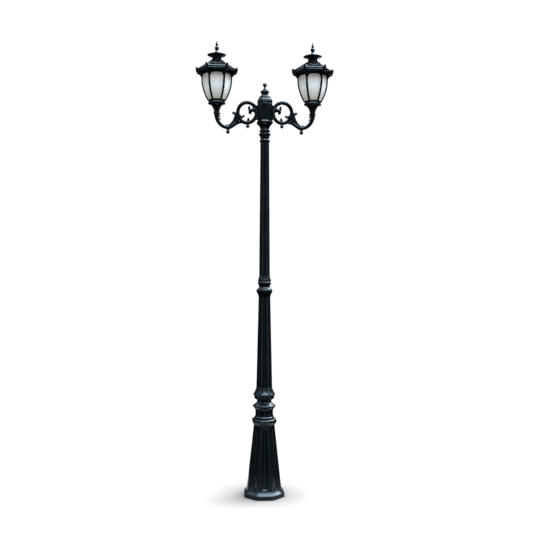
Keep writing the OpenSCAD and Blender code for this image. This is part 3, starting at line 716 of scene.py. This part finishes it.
def makeArm(side):
    bm = bmesh.new()
    a = arm
    turns = [math.tau * i / 100 for i in range(100)]
    ringPath = [Vector((a["ringU"] + a["ringR"] * math.cos(t), 0, a["ringZ"] + a["ringTall"] * math.sin(t)))
        for t in turns]
    sweep(bm, ringPath, a["ringThick"], 20, 0.92, 2.3, closed=True)
    # the S of the arm: from the lantern down, along the bottom and up into the ring
    sBend = arcPoints(a["bendU"], a["bendZ"], a["bendR"], 360, 272, 38)
    sBend = [Vector((a["lanternU"], 0, 2684))] + sBend + smoothPath(a["sTail"], 5)
    sweep(bm, sBend, lambda t: 14.4 - 3.0 * min(1, t * 1.2), 20, 0.95, 2.3)
    sweep(bm, [Vector((339, 0, 2652)), Vector((339.6, 0, 2664)), Vector((340, 0, 2675)),
        Vector((340, 0, 2683.6))], lambda t: 13.6 + 7.2 * t ** 1.2, 28)
    scroll(bm, [(264, 2590), (252, 2602), (239, 2615), (227, 2629), (217, 2645), (210, 2662), (203, 2682),
        (196, 2700)], 7.6, 7.6, 0)
    # leaf curl where the arm leaves the ring
    scroll(bm, [(202, 2650), (203, 2670), (206, 2684), (212, 2693), (221, 2697)], 10.5, 7.6, 0.1)
    lump(bm, 223, 0, 2695.5, 9.6, (1, 0.95, 1))
    scroll(bm, [(190, 2660), (195, 2676), (197, 2690), (201, 2700)], 9, 5.5, 0.3)
    # web where both strands reach the ring
    scroll(bm, [(196, 2634), (197, 2650), (194, 2668), (190, 2684)], 11.5, 9.5, 0)
    # fleur that grows in from the post side
    scroll(bm, [(56, 2726), (72, 2724), (88, 2718), (101, 2712)], 11.2, 10, 0)
    scroll(bm, [(94, 2712), (104, 2716), (110, 2724), (112, 2733), (110.5, 2741)], 8.4, 6.2, 0.15)
    lump(bm, 110.6, 0, 2739, 8.0, (0.95, 0.9, 1.15))
    scroll(bm, [(96, 2716), (104, 2709), (106, 2701), (102, 2694)], 9.2, 8, 0.15)
    lump(bm, 103, 0, 2697, 10.2, (1.05, 0.9, 1))
    lump(bm, 103, 0, 2711, 10.4, (1.05, 0.9, 1))
    scroll(bm, [(64, 2740), (76, 2733), (86, 2724)], 8, 6.4, 0.2)
    scroll(bm, [(58, 2698), (70, 2706), (82, 2712)], 8, 6, 0.2)
    # hook inside the outer root, thorn at the foot, bud under the crown
    scroll(bm, [(190, 2694), (180, 2679), (168, 2670), (157, 2669), (150, 2674)], 8, 6.6, 0.1)
    lump(bm, 150.5, 0, 2675, 9.2, (1.1, 0.9, 0.95))
    scroll(bm, [(119, 2626), (118, 2640), (116.5, 2651), (116.5, 2658)], 9, 6.2, 0.15)
    lump(bm, 116.2, 0, 2655.5, 8.2)
    lump(bm, 135, 0, 2761, 6.6, (1.3, 0.9, 0.9))
    lump(bm, 148, 0, 2757, 4.8, (1.2, 0.9, 0.9))
    # knob on the bottom of the S and three buds on its inner side
    scroll(bm, [(282, 2598), (272, 2605), (262, 2605), (255, 2598)], 6.2, 6.2, 0.2)
    for i, (u, z, size) in enumerate(((323.5, 2690, 8.6), (322.5, 2671, 7.8), (317, 2653, 6.6))):
        lump(bm, u, 0, z, size, (1.15, 1.0, 0.78))
        lump(bm, u - 5, 0, z - 3.5, size * 0.62, (1.1, 1.0, 0.8))
    # side leaves that wrap the top of the bend
    for y in (-1, 1):
        for i in range(3):
            lump(bm, 338 - i * 1.5, y * 10.5, 2688 - i * 15, 6.2 - i * 0.6, (1.3, 0.6, 1.2))
    # bosses for the drops
    sweep(bm, upright(260, 2573.2, 2578, 2590), lambda t: 10.8 - 1.4 * t, 20)
    sweep(bm, upright(121, 2616.2, 2620, 2630), lambda t: 9.8 - 1.0 * t, 20)
    # root flange, with the boss that the root screw goes through
    plate(bm, [(51, 2648.5), (58.6, 2650), (58.8, 2750), (51, 2751.5)], 39.4)
    boss = [Vector((61, y, 2714)) for y in (-14.6, -12, 12, 14.6)]
    sweep(bm, boss, lambda t: 9 if t in (0, 1) else 9.9, 24)
    sweep(bm, [Vector((61, 0, 2652)), Vector((60, 0, 2699)), Vector((61, 0, 2748))],
        lambda t: 9 + 5 * math.sin(math.pi * t), 16, 1.2, 2.6)
    # stub that carries the lantern
    sweep(bm, upright(a["lanternU"], 2678, 2700, 2722), 9.9, 28)
    # the seat against the post is flat
    everything = list(bm.verts) + list(bm.edges) + list(bm.faces)
    cut = bmesh.ops.bisect_plane(bm, geom=everything, plane_co=(51.2, 0, 0), plane_no=(1, 0, 0),
        clear_inner=True)
    rim = [g for g in cut["geom_cut"] if isinstance(g, bmesh.types.BMEdge)]
    bmesh.ops.holes_fill(bm, edges=rim, sides=0)
    word = "left" if side < 0 else "right"
    finishPiece(bm, word + "ArmCasting", "dustyEnamel", "post", [word + "_arm"], flip=side < 0,
        fuse=arm["meltAt"])
    bm = bmesh.new()
    for u, outline in armDrops:
        drop = bmesh.new()
        turnProfile(drop, outline, 40, 1.2, closed=False)
        bmesh.ops.translate(drop, vec=(u, 0, 0), verts=drop.verts)
        pour(bm, drop)
    finishPiece(bm, word + "ArmDrops", "enamel", "post", [word + "_arm_pendants"], flip=side < 0, sharp=48)
    bm = bmesh.new()
    turnProfile(bm, [(10.3, 2684), (14.8, 2684), (17, 2685.5), (20.2, 2687.4), (23.4, 2690.8), (24, 2694),
        (23.4, 2697.2), (19.5, 2699.8), (10.3, 2699.8)], 48, 1.0)
    finishPiece(bm, word + "SocketCollar", "enamel", "post", [word + "_socket"],
        shift=(side * arm["lanternU"], 0, 0), sharp=48)


for side in (-1, 1):
    makeArm(side)
print("arms made")

lantern = {
    "curveR": 341.4, "curveIn": -247.75, "curveZ": 2940.4, "footZ": 2777.0, "headZ": 2974.0, "sheet": 6.0,
    "ribWide": 7.6, "ribDeep": 5.4, "archTop": 2961.0, "archCorner": 21.0, "archReach": 54, "archHalf": 43,
    "paneBehind": 7.4, "paneBorder": 9.5, "paneFoot": 2781.6, "paneHead": 2964.5, "coveR": 38.5,
    "pinY": 127, "pinZ": 2977.6,
}


def paneFlat(z, inward=0.0):
    return lantern["curveIn"] + math.sqrt((lantern["curveR"] - inward) ** 2 - (z - lantern["curveZ"]) ** 2)


def cornerR(z):
    return paneFlat(z) / math.cos(math.pi / 6)


cup = {
    "bowl": [(10.3, 2700.1), (18.6, 2700.1), (20.4, 2702.4), (20.6, 2706), (20.2, 2709),
        (21.6, 2713.5), (24, 2720), (26.8, 2727.5), (30.2, 2735), (34.6, 2742.5), (40.6, 2749),
        (48.5, 2753.5), (50.5, 2757), (50, 2766), (44, 2766), (44, 2762), (24, 2749), (24, 2738.2),
        (10.3, 2738.2)],
    "collar": [(44, 2754), (51, 2752.4), (57.5, 2752.8), (61, 2755.5), (61.5, 2759), (61.5, 2765.5),
        (60, 2768.6), (57.2, 2770.4), (56.4, 2776.8), (50, 2776.8)],
}


def makeCup(word, shift):
    bm = bmesh.new()
    turnProfile(bm, cup["bowl"], 72, 1.6)
    sixSided(bm, cup["collar"], 1.4)
    finishPiece(bm, word + "LanternCup", "enamel", "post", [word + "_cup"], shift=shift, edge=0.8, sharp=34)


def makeCage(word, shift):
    bm, sector = bmesh.new(), bmesh.new()
    box = lantern
    # corner rib, wider than it is deep
    path = []
    for s in range(29):
        z = box["footZ"] + 0.2 + (box["headZ"] - box["footZ"] - 0.6) * s / 28
        path.append(Vector((cornerR(z) - box["ribDeep"] + 1.6, 0, z)))
    sweep(sector, path, box["ribDeep"], 20, box["ribWide"] / box["ribDeep"], 2.3)

    # arched header and low sill between two ribs
    def header(a, b):
        x = a * 2 - 1
        over = min(box["archCorner"], max(0, abs(x) * box["archReach"]
            - (box["archHalf"] - box["archCorner"])))
        low = box["archTop"] - 2 * x * x - (box["archCorner"] - math.sqrt(box["archCorner"] ** 2 - over ** 2))
        z = low + (box["headZ"] - 0.3 - low) * b
        return turned((x * paneFlat(z) * math.tan(math.pi / 6) * 0.985, -(paneFlat(z) - 0.6), z))

    def sill(a, b):
        z = box["footZ"] + 3 * b
        return turned(((a * 2 - 1) * paneFlat(z) * math.tan(math.pi / 6) * 0.97, -(paneFlat(z) - 0.6), z))

    sheetPatch(sector, 40, 6, header, -box["sheet"])
    sheetPatch(sector, 4, 2, sill, -box["sheet"])
    # cove bracket on the corner, under the ear
    rise = [math.radians(a) for a in range(176, 98, -8)]
    hollow = [(146 + box["coveR"] * math.cos(a), 2929.5 + box["coveR"] * math.sin(a)) for a in rise]
    cove = [(106.5, 2929)] + hollow + [(140.5, 2968.2), (141.6, 2970), (141.6, 2973.8), (101, 2973.8),
        (101, 2940)]
    bracket = bmesh.new()
    plate(bracket, cove, 15)
    bmesh.ops.bevel(bracket, geom=sharpEdges(bracket.verts), offset=1.6, affect="EDGES", segments=2,
        profile=0.5, material=-1)
    pour(sector, bracket)
    ringOf(bm, sector, 6)
    sixSided(bm, [(88, 2966), (100, 2966), (104.5, 2968), (106, 2970.5), (106, 2973.8), (88, 2973.8)], 1.0)
    sixSided(bm, [(50, 2777.1), (59.6, 2777.1), (60.2, 2779), (58.8, 2781.4), (50, 2781.4)], 0.8)
    # hinge leaves at the rear
    for s in (-1, 1):
        hingeLeaf(bm, s * 21, 17.6, 108, 45, 2969.4, 7.6, 9)
    finishPiece(bm, word + "LanternCage", "enamel", "post", [word + "_cage"], shift=shift, sharp=40)


def turned(point):
    # from the face that looks along -Y to the one between two corners
    return Matrix.Rotation(math.pi / 6 * 2, 3, "Z") @ Vector(point)


def hingeLeaf(bm, x, wide, y, deep, z, tall, barrel):
    leaf = bmesh.new()
    bmesh.ops.create_cube(leaf, size=1)
    bmesh.ops.scale(leaf, vec=(wide, deep, tall), verts=leaf.verts)
    bmesh.ops.translate(leaf, vec=(x, y, z), verts=leaf.verts)
    bmesh.ops.bevel(leaf, geom=list(leaf.edges), offset=1.2, affect="EDGES", segments=2, profile=0.5,
        material=-1)
    sweep(leaf, [Vector((x + o, lantern["pinY"], lantern["pinZ"]))
        for o in (-barrel, 0.8 - barrel, barrel - 0.8, barrel)], lambda t: 5.2 if t in (0, 1) else 6, 24)
    pour(bm, leaf)


def makePanes(word, shift):
    bm, sector = bmesh.new(), bmesh.new()
    behind, border, tall = lantern["paneBehind"], lantern["paneBorder"], 183

    def put(a, b):
        z = lantern["paneFoot"] + (lantern["paneHead"] - lantern["paneFoot"]) * b
        x = a * 2 - 1
        half = paneFlat(z, behind) * math.tan(math.pi / 6) - 1.9
        inset = min(1, max(0, min((1 - abs(x)) * half - border, (1 - b) * tall - 16, b * tall - 8) / 2.0))
        return (x * half, -(paneFlat(z, behind) - 0.7 + 0.7 * inset), z)

    sheetPatch(sector, 48, 46, put, -2.8)
    ringOf(bm, sector, 6)
    finishPiece(bm, word + "FrostedPanes", "pane", "post", [word + "_panes"], shift=shift,
        sharp=50)


roof = {
    "slope": 32,
    "ear": [(120, 2975.4), (139.5, 2975.4), (143.5, 2978.5), (146.6, 2985), (148.6, 2994), (149, 3004),
        (148.4, 3013), (146.9, 3018.2), (143.8, 3017.6), (141.6, 3012.5), (139.2, 3009.2), (137, 3010.6),
        (134.6, 3014.6), (131.6, 3014.4), (130.4, 3009), (126, 3008), (119, 3009)],
    # across, out, up, length and turn of each leaf
    "leaves": [(0, -72, 3033.5, 9.5, 0), (12, -67, 3036, 7.5, 32), (-12, -67, 3036, 7.5, -32),
        (22, -71, 3033.5, 8.5, 62), (-22, -71, 3033.5, 8.5, -62), (9, -84, 3026.5, 6.5, 20),
        (-9, -84, 3026.5, 6.5, -20)],
    "shell": [(106, 2974.8), (124, 2974.8), (127.5, 2976), (130, 2979), (134.4, 2982), (135.8, 2985),
        (135.4, 2989), (132.8, 2991), (132.6, 2995.5), (134.6, 2998), (134.2, 3001.5), (130.5, 3005.5),
        (100, 3024.5), (78, 3038), (66, 3044.6), (60, 3047), (58.5, 3048.9), (40, 3048.9), (40, 3043),
        (64, 3038), (122, 3001), (124, 2985)],
    "ridge": [(131, 3003.5), (118, 3012), (96, 3026), (76, 3038.5), (66, 3045), (58, 3050),
        (53.5, 3054.5), (54, 3058)],
    "neckFoot": [(30, 3049.1), (58, 3049.1), (58.6, 3051), (56, 3052.8), (50, 3053.6), (45.4, 3056),
        (42.2, 3059.5), (39.6, 3063.4), (30, 3064)],
    "neckCore": [(26.5, 3063), (31.6, 3063), (29, 3074), (28.4, 3086), (26.5, 3086)],
    "neckHead": [(24, 3083.5), (31, 3083.5), (33.8, 3085.6), (36, 3088.4), (36.2, 3090.9), (24, 3090.9)],
    "hat": [(0.01, 3091.1), (34, 3091.1), (48, 3093.6), (60, 3097.4), (65.6, 3100.2), (67.5, 3101.8),
        (66.6, 3103.4), (60, 3105), (48, 3107.2), (34, 3110), (25, 3113), (19, 3115.9), (0.01, 3115.9)],
    "spire": [(0.01, 3116.1), (18.5, 3116.1), (18.8, 3118.4), (17, 3121.5), (13.6, 3125.5), (11, 3130),
        (9.8, 3135), (10.2, 3138), (13, 3141), (12.6, 3143), (14.6, 3146), (16, 3150.5), (15.4, 3155.5),
        (12.6, 3160), (8.6, 3163), (6.4, 3165), (6.2, 3168), (8.4, 3170.5), (10, 3174), (10.2, 3178),
        (8.8, 3182), (6.8, 3186), (5.2, 3190.5), (4.2, 3195), (3.2, 3198.6), (0.01, 3199.9)],
}


def makeRoof(word, shift):
    bm = bmesh.new()
    body = word + "_lid"
    # hipped roof with a moulded eave
    sixSided(bm, roof["shell"], 1.0)
    sector = bmesh.new()
    # rolled ridge that ends in a small curl at the crown
    sweep(sector, smoothPath(roof["ridge"], 6), lambda t: 4.8 - 1.6 * t, 12)
    # upturned leaf ear
    ear = bmesh.new()
    plate(ear, roof["ear"], 15)
    bmesh.ops.bevel(ear, geom=sharpEdges(ear.verts), offset=1.8, affect="EDGES", segments=2, profile=0.5,
        material=-1)
    for y in (-1, 1):
        sweep(ear, [Vector((136, y * 6.2, 2979)), Vector((141.5, y * 7.6, 2984)),
            Vector((143.4, y * 8.0, 2994)), Vector((143, y * 7.4, 3005)), Vector((142.5, y * 5.6, 3013))],
            tapered(2.2, 3.0, 0.3), 10)
    pour(sector, ear)
    ringOf(bm, sector, 6)
    # leaves cast on the upper slopes, between the ridges
    sector = bmesh.new()
    for x, y, z, size, turn in roof["leaves"]:
        leaf = bmesh.new()
        lump(leaf, 0, 0, 0, size, (0.62, 1.35, 0.34))
        # turned on the flat first, then laid on the slope
        fan, lie = Matrix.Rotation(math.radians(turn), 3, "Z"), Matrix.Rotation(math.radians(roof["slope"]), 3, "X")
        bmesh.ops.rotate(leaf, cent=(0, 0, 0), matrix=lie @ fan, verts=leaf.verts)
        bmesh.ops.translate(leaf, vec=(x, y, z), verts=leaf.verts)
        pour(sector, leaf)
    ringOf(bm, sector, 6)
    hingeLeaf(bm, 0, 22.4, 119, 16, 2979.3, 6.6, 11.4)
    finishPiece(bm, word + "LanternRoof", "enamel", body, [word + "_roof"], shift=shift, sharp=36)
    # vent neck with its windows, hat and spire
    bm = bmesh.new()
    turnProfile(bm, roof["neckFoot"], 80, 1.2)
    bar = bmesh.new()
    sweep(bar, [Vector((r, 0, z)) for r, z in ((36.6, 3061), (34.6, 3066), (32.4, 3072), (30.6, 3078),
        (30.0, 3083), (31, 3086))], 3, 16, 2.2, 3)
    ringOf(bm, bar, 8, math.pi / 8)
    turnProfile(bm, roof["neckCore"], 64, 0.6)
    turnProfile(bm, roof["neckHead"], 72, 1.0)
    leaf = bmesh.new()
    sweep(leaf, [Vector((r, 0, z)) for r, z in ((57, 3049.8), (50.5, 3052), (45.5, 3055.4), (42, 3059.6),
        (39.8, 3064))], lambda t: 3.6 * math.sin(math.pi * (0.22 + 0.74 * t)) + 0.5, 12, 1.5)
    ringOf(bm, leaf, 12)
    finishPiece(bm, word + "VentNeck", "enamel", body, [word + "_vent_neck"], shift=shift, sharp=50)
    bm = bmesh.new()
    turnProfile(bm, roof["hat"], 96, 1.2, closed=False)
    finishPiece(bm, word + "LanternHat", "enamel", body, [word + "_hat"], shift=shift, sharp=50)
    bm = bmesh.new()
    turnProfile(bm, roof["spire"], 48, 0.9, closed=False)
    finishPiece(bm, word + "LanternSpire", "enamel", body, [word + "_spire"], shift=shift, sharp=55)


for side in (-1, 1):
    word = "left" if side < 0 else "right"
    shift = (side * arm["lanternU"], 0, 0)
    makeCup(word, shift)
    makeCage(word, shift)
    makePanes(word, shift)
    makeRoof(word, shift)
print("lanterns made")

# carried parts keep their drawn shape and get a finish
paintedScrews = ("shaft_set_screws", "head_cap_screws", "left_socket_screws", "right_socket_screws",
    "left_roof_screws", "right_roof_screws", "arm_bolts", "door_screw")
slotOf = {s["node"]: s["material_slot"] for s in frame["record"]["subparts"]}
for nodeName, obj in nodes.items():
    look = finish[slotFinish[slotOf[nodeName]]]
    if nodeName in paintedScrews:
        look = finish["blackScrew"]
    obj.data.materials.clear()
    obj.data.materials.append(look)
print("carried parts finished")

studio = {
    "floorRadius": 0.72, "overhead": 10.5, "overheadSpread": 60, "overheadFrom": (0.9, -1.75, 8),
    "sideSky": 3.4, "sidePanel": 28,
}


def layFloor():
    bm = bmesh.new()
    bmesh.ops.create_circle(bm, cap_ends=True, segments=128, radius=studio["floorRadius"])
    mesh = bpy.data.meshes.new("paleFloor")
    bm.to_mesh(mesh)
    bm.free()
    floor = bpy.data.objects.new("paleFloor", mesh)
    scene.collection.objects.link(floor)
    mat, tree, shader, place = newFinish("paleFloorPaint")
    # painted shadow: the floor is a little darker near the foot of the post
    reach = tree.nodes.new("ShaderNodeVectorMath")
    reach.operation = "LENGTH"
    tree.links.new(place.outputs["Object"], reach.inputs[0])
    paintedFootShadow = ramp(tree, spread(tree, reach.outputs["Value"], 0.10, 0.50, 0, 1),
        [(0.0, (0.13, 0.115, 0.105)), (0.25, (0.192, 0.170, 0.155)), (0.55, (0.236, 0.208, 0.189)),
        (1.0, (0.272, 0.240, 0.218))])
    swept = spread(tree, noiseAt(tree, place, 3, 3), 0.4, 0.6, 0, 0.06)
    tree.links.new(blendColours(tree, swept, paintedFootShadow, (0.20, 0.18, 0.165)), shader.inputs["Base Color"])
    shader.inputs["Roughness"].default_value = 0.9
    shader.inputs["Specular IOR Level"].default_value = 0.1
    mesh.materials.append(mat)


def hangLight(name, kind, place, aim, power, size=None, colour=(1, 1, 1)):
    data = bpy.data.lights.new(name, kind)
    data.energy = power
    data.color = colour
    if kind == "SUN":
        data.angle = math.radians(size)
    else:
        data.shape = "RECTANGLE"
        data.size, data.size_y = size
    lamp = bpy.data.objects.new(name, data)
    lamp.location = place
    lamp.rotation_euler = (Vector(aim) - Vector(place)).to_track_quat("-Z", "Y").to_euler()
    scene.collection.objects.link(lamp)


def lightStudio():
    world = bpy.data.worlds.new("paleStudio")
    scene.world = world
    world.use_nodes = True
    tree = world.node_tree
    tree.nodes.clear()
    out = tree.nodes.new("ShaderNodeOutputWorld")
    # white where the camera looks past the post, a dim sky for everything else
    seen, glow = (tree.nodes.new("ShaderNodeBackground") for i in range(2))
    swap, path = tree.nodes.new("ShaderNodeMixShader"), tree.nodes.new("ShaderNodeLightPath")
    seen.inputs["Color"].default_value = (1, 1, 1, 1)
    seen.inputs["Strength"].default_value = 1.05
    place, split = tree.nodes.new("ShaderNodeTexCoord"), tree.nodes.new("ShaderNodeSeparateXYZ")
    tree.links.new(place.outputs["Generated"], split.inputs["Vector"])
    up = spread(tree, split.outputs["Z"], -1, 1, 0, 1)
    tree.links.new(ramp(tree, up, [(0.40, (0.02, 0.024, 0.028)), (0.5, (0.04, 0.055, 0.06)),
        (0.68, (0.09, 0.115, 0.135)), (0.88, (0.60, 0.74, 0.88))]), glow.inputs["Color"])
    tree.links.new(path.outputs["Is Camera Ray"], swap.inputs["Fac"])
    tree.links.new(glow.outputs["Background"], swap.inputs[1])
    tree.links.new(seen.outputs["Background"], swap.inputs[2])
    tree.links.new(swap.outputs["Shader"], out.inputs["Surface"])
    hangLight("overheadSky", "SUN", studio["overheadFrom"], (0, 0, 0), studio["overhead"],
        studio["overheadSpread"], (0.80, 0.91, 1))
    hangLight("rightSky", "SUN", (5, 2.6, 6.4), (0, 0, 0), studio["sideSky"] * 1.6, 38, (0.80, 0.90, 1))
    hangLight("leftSky", "SUN", (-5, 2.6, 6.4), (0, 0, 0), studio["sideSky"] * 0.15, 38, (0.80, 0.90, 1))
    hangLight("frontPanel", "AREA", (0.9, -6.2, 1.5), (0, 0, 1.5), studio["sidePanel"] * 0.5, (0.9, 4.4),
        (0.84, 0.92, 1))
    hangLight("rightPanel", "AREA", (4.2, -1.7, 2.4), (0, 0, 1.7), studio["sidePanel"] * 1.5, (1.2, 4.4),
        (0.86, 0.93, 1))
    hangLight("leftPanel", "AREA", (-4.3, -1.5, 2.4), (0, 0, 1.7), studio["sidePanel"] * 1.2, (1.0, 4.4),
        (0.9, 0.95, 1))
    hangLight("rearPanel", "AREA", (1.5, 4.5, 3.0), (0, 0, 1.6), studio["sidePanel"] * 1.4, (2.4, 3.4),
        (0.95, 0.97, 1))
    scene.view_settings.view_transform = "Standard"


layFloor()
lightStudio()
print("studio lit")
